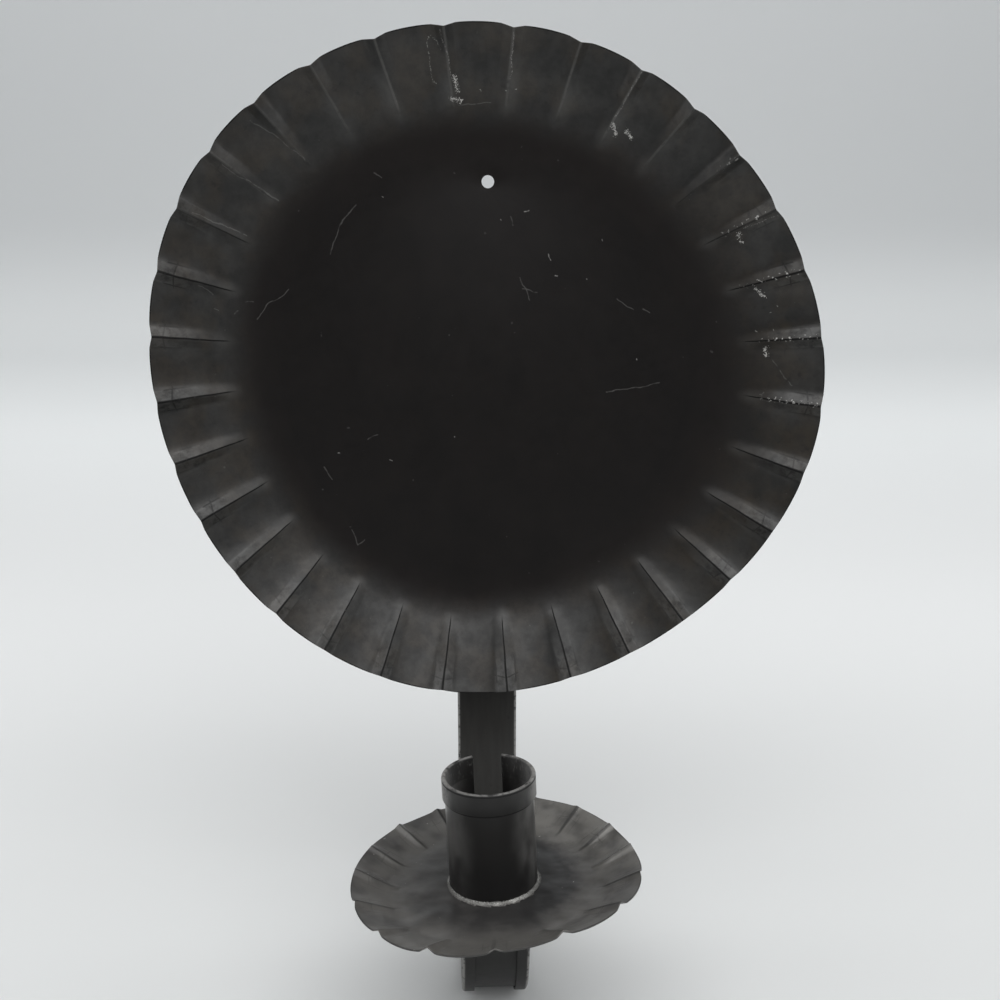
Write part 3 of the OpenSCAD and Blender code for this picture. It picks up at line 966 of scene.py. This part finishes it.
dents = paint.noise(place, 24, detail=1) * 0.4 + paint.noise(place, 7, detail=1) * 0.4 * flare
dents = dents + paint.noise(place, 2.2, detail=1) * 0.06 * flare + mottle * 0.015 * flare
height = dents + knob_and_highlight * 0.25 + grain * 0.01 - crease_dirt_and_shade * 0.1 - prints * 0.08 - bare * 0.04
satin = 0.42 + 0.08 * clouds - 0.08 * mottle + 0.1 * bare + 0.3 * dirt_and_shade
polish = flare * (0.3 + 0.3 * paint.step(clouds, 0.25, 0.75) + 0.3 * paint.step(height_up, -85, -125))
polish = polish * (1 - 0.3 * paint.step(out_right, 20, 60) * paint.step(height_up, -60, -95))
polish = polish * (0.82 + 0.36 * mottle)
polish = polish + pressed * 0.35 + knob_and_highlight * 0.15 + shoulder_highlight * 0.45
polish = polish * (1 - dirt_and_shade)
paint.set(Base_Color=tone, Roughness=satin, Metallic=bare * 0.8, Coat_Weight=polish,
          Normal=paint.bump(height))
paint.shader.inputs["Specular IOR Level"].default_value = 0.13
paint.shader.inputs["Coat Roughness"].default_value = 0.33
reflector.data.materials.append(paint.material)

# %% [markdown]
# The pan lies open to dust and wax, so its paint is greyer and stained, darkest round the socket
# where a wiping cloth doesn't reach; that dark ring, stronger on the right, is painted shade as
# well as stain. Its back right is painted paler, which is painted light. It leans with the strap,
# so its pattern is read in its own leaning frame: the Mapping node takes the frame's place and
# turn off again.

# %% Places in the leaning frame
def leaning_place(finish):
    return finish.add("Mapping", {"vector_type": "TEXTURE"}, {
        "Vector": finish.place(),
        "Location": leaning.to_translation() / MM,
        "Rotation": (0, math.radians(-LEAN), 0),
    })


# %% Drip pan's paint
pan_tone = (0.060, 0.0567, 0.0545, 1)
stain_tone = (0.0195, 0.0190, 0.0190, 1)
dust_tone = (0.100, 0.096, 0.089, 1)
back_right_light_tone = (0.20, 0.193, 0.178, 1)

wax = Finish("pan_paint")
place = leaning_place(wax)
across, inward, luck = crimp_places(wax)
clouds = wax.noise(place, 6, detail=3, roughness=0.6)
grime = wax.noise(place, 2.0, detail=4, roughness=0.65)
grain = wax.noise(place, 0.8, detail=1)
x, y, z = wax.parts(place)
radius = wax.math("SQRT", x * x + y * y)

tone = wax.mix(0.35 + 0.65 * wax.step(clouds, 0.3, 0.7), stain_tone, pan_tone)
# stain and painted shade: darker round the socket, more on the right
stain_and_shade_ring = wax.step(radius + 12 * clouds, 32, 25)
tone = wax.mix(stain_and_shade_ring * (0.68 + 0.03 * x), tone, stain_tone)
dusty = wax.step(wax.noise(place, 7), 0.24, 0.66) * wax.step(radius, 20, 29)
near_edge = wax.step(y, -19, -30)
tone = wax.mix(wax.most(dusty * 0.8, near_edge * 0.9), tone, dust_tone)
# painted light: the back right of the pan is painted paler
back_right_light = wax.step(x + y + 16 * clouds, 34, 52) * wax.step(wax.noise(place, 9), 0.3, 0.6)
tone = wax.mix(back_right_light * 0.62, tone, back_right_light_tone)
tone = wax.mix(wax.step(grime, 0.42, 0.3) * 0.2, tone, stain_tone)
# dirt and painted shade in the creases, to one side of each crest and weaker at the front
crease_dirt_and_shade = wax.step(abs(across + 0.25), 0.7, 0.1) * wax.step(inward, 14, 8) * (0.4 + 0.6 * luck)
crease_dirt_and_shade = crease_dirt_and_shade * (0.35 + 0.65 * wax.step(y, -30, -14))
# painted shade: a thin dark line along the pan's rim
rim_shade_line = wax.step(inward, 0.42, 0.15)
prints = jaw_print(wax, across, inward, luck) * (0.2 + 0.5 * luck)
tone = wax.mix(wax.most(crease_dirt_and_shade * 0.85, rim_shade_line * 0.7, prints * 0.35), tone, SOOT_AND_SHADE)
speck = wax.step(wax.noise(place, 1.1, detail=1), 0.79, 0.83)
tone = wax.mix(speck * 0.6, tone, TIN)

dents = wax.noise(place, 9, detail=1) * 1.1 + wax.noise(place, 4, detail=1) * 0.2
height = dents + grain * 0.012 - crease_dirt_and_shade * 0.1 - prints * 0.06
satin = 0.32 + 0.14 * clouds
wax.set(Base_Color=tone, Roughness=satin, Metallic=0.2 + 0.5 * speck, Normal=wax.bump(height))
wax.shader.inputs["Specular IOR Level"].default_value = 0.6
pan.data.materials.append(wax.material)

# %% [markdown]
# The socket is handled most. Fingers have rubbed its rim to bare tin in places, while its foot has
# kept all its paint. Inside, candle stubs have scraped the wall just under the rim. The pale bands
# down its sides and the bright edges of its folded lip are painted reflections, and the thin dark
# lines under the lip and the rim are painted shade.

# %% Socket's paint
tube_tone = (0.0105, 0.0100, 0.0098, 1)
lip_tone = (0.0060, 0.0057, 0.0054, 1)
side_reflection_tone = (0.118, 0.116, 0.112, 1)
lip_reflection_tone = (0.17, 0.167, 0.16, 1)

tube = Finish("socket_paint")
place = leaning_place(tube)
x, y, z = tube.parts(place)
radius = tube.math("SQRT", x * x + y * y)
clouds = tube.noise(tube.stretch(place, (1, 1, 0.5)), 6, detail=3)
grime = tube.noise(place, 1.8, detail=4, roughness=0.6)
grain = tube.noise(place, 0.8, detail=1)

socket_top = FLOOR_UP + SOCKET_HEIGHT
lip = tube.step(z, socket_top - LIP_HEIGHT - 0.2, socket_top - LIP_HEIGHT + 0.3)
tone = tube.mix(lip * (0.2 + 0.8 * clouds), tube_tone, lip_tone)
tone = tube.mix(tube.step(z, FLOOR_UP + 10, FLOOR_UP + 24) * 0.5 * clouds, tone, lip_tone)
# painted reflection: pale bands down the tube's left and right sides, a little stronger on the right
sides = tube.step(abs(x), 3.5, 11) * tube.step(z + 14 * clouds, FLOOR_UP + 6, FLOOR_UP + 22)
tone = tube.mix(sides * tube.step(clouds, 0.2, 0.75) * (0.85 - 0.5 * lip + 0.02 * x), tone, side_reflection_tone)
# painted reflection: pale patches on the lip's left and right edges
lip_edge_reflection = lip * tube.step(abs(x), 9.5, 12.3) * tube.step(grime, 0.25, 0.5)
tone = tube.mix(lip_edge_reflection * 0.8, tone, lip_reflection_tone)
# painted shade: thin dark lines under the lip and just under the rim's top, outside the tube
shade_under_lip = tube.step(abs(z - socket_top + LIP_HEIGHT + 0.35), 0.5, 0.25)
shade_under_rim = tube.step(abs(z - socket_top + 0.6), 0.3, 0.15)
dirt_and_shade = tube.most(shade_under_lip, shade_under_rim * 0.8) * tube.step(radius, SOCKET_RADIUS + 0.2, SOCKET_RADIUS + 0.4)
tone = tube.mix(dirt_and_shade * 0.9, tone, SOOT_AND_SHADE)
rubbed = tube.step(z, socket_top - 0.35, socket_top - 0.05) * tube.step(grime, 0.34, 0.6)
# painted reflection: bright lines on the lip's outer edges and the tube's upper left and right edges
edge = tube.step(abs(x), 12.1, 12.5) * tube.step(grime, 0.36, 0.5)
edge = edge + tube.step(abs(x), 11.2, 11.6) * tube.step(z, FLOOR_UP + 18, FLOOR_UP + 24) * (1 - lip) * 0.6
scrape = tube.noise(tube.stretch(place, (1, 1, 0.4)), 0.6, detail=2)
scraped = tube.step(radius, SOCKET_RADIUS + 0.12, SOCKET_RADIUS - 0.05) * tube.step(z, socket_top - 9, socket_top)
scraped = scraped * tube.step(scrape, 0.54, 0.7)
# bare tin at the rim and inside, together with the painted reflection of the edges
bare = tube.most(rubbed * 0.26, edge * 0.5, scraped * 0.11)
tone = tube.mix(bare, tone, TIN)
height = clouds * 0.1 + grain * 0.006 - bare * 0.02
satin = 0.28 + 0.1 * clouds + 0.15 * lip + 0.5 * dirt_and_shade
tube.set(Base_Color=tone, Roughness=satin, Metallic=bare * 0.8, Normal=tube.bump(height))
tube.shader.inputs["Specular IOR Level"].default_value = 0.4
socket.data.materials.append(tube.material)

# %% [markdown]
# The strap's folded edges stand proud on both sides. They rub on walls, boxes and other sconces,
# so the paint is thin along them. The web between them is sheltered and keeps streaks from the
# brush, long and narrow, which a noise gives once it is stretched along the strap.

# %% Strap's paint
strap_tone = (0.0215, 0.0207, 0.0192, 1)
streak_tone = (0.030, 0.0290, 0.0270, 1)

brushed = Finish("strap_paint")
place = brushed.place()
x, y, z = brushed.parts(place)
streaks = brushed.noise(brushed.stretch(place, (1, 1, 0.12)), 1.6, detail=3)
clouds = brushed.noise(place, 9, detail=3)
grime = brushed.noise(place, 1.7, detail=4, roughness=0.6)
grain = brushed.noise(place, 0.8, detail=1)

side = abs(x - MIDDLE_X)
tone = brushed.mix(brushed.step(streaks, 0.35, 0.65) * clouds, strap_tone, streak_tone)
tone = brushed.mix(brushed.step(grime, 0.4, 0.28) * 0.4, tone, SOOT_AND_SHADE)
# painted shade: the strap is painted darker towards the bottom of the J, under the pan
tone = brushed.mix(brushed.step(z, -192, -206) * 0.5, tone, SOOT_AND_SHADE)
rubbed = brushed.step(side, ARM_WIDTH / 2 - 0.9, ARM_WIDTH / 2 - 0.4) * brushed.step(grime, 0.32, 0.5)
bare = rubbed * 0.42
tone = brushed.mix(bare, tone, TIN)
height = clouds * 0.2 + grain * 0.01 + streaks * 0.02 - bare * 0.03
satin = 0.4 + 0.1 * clouds
brushed.set(Base_Color=tone, Roughness=satin, Metallic=bare * 0.8, Normal=brushed.bump(height))
brushed.shader.inputs["Specular IOR Level"].default_value = 0.35
strap.data.materials.append(brushed.material)

# %% [markdown]
# Lead solder goes pale and dull with age, and its skin is grainy where it froze last. Flux and
# soot have stayed in the hollows, and the thin outer edge of the fillet round the socket has gone
# as dark as the pan. It is a metal, but an old one, so it is only partly metallic and quite rough.
# The other seams lie well outside that fillet, so their distance from the socket tells them apart.

# %% Solder's skin
solder_tone = (0.44, 0.44, 0.42, 1)
flux_tone = (0.13, 0.127, 0.12, 1)
BEAD_EDGE = 13.65

skin = Finish("solder_skin")
place = skin.place()
grit = skin.noise(place, 0.4, detail=2, roughness=0.7)
pools = skin.noise(place, 3.0, detail=2)
x, y, z = skin.parts(leaning_place(skin))
radius = skin.math("SQRT", x * x + y * y)
tone = skin.mix(skin.step(grit * 0.65 + pools * 0.35, 0.6, 0.44), solder_tone, flux_tone)
fillet = skin.step(radius, 16, 15)
edge = fillet * skin.step(radius + 3 * grit, BEAD_EDGE, BEAD_EDGE + 0.7)
tone = skin.mix(edge, tone, pan_tone)
brim = fillet * skin.step(z + 0.8 * grit, FLOOR_UP + 1.2, FLOOR_UP + 1.6)
tone = skin.mix(brim, tone, tube_tone)
height = grit * 0.04
skin.set(Base_Color=tone, Roughness=0.48 + 0.2 * grit, Metallic=0.45 + 0.3 * pools, Normal=skin.bump(height))
for piece in beads:
    piece.data.materials.append(skin.material)
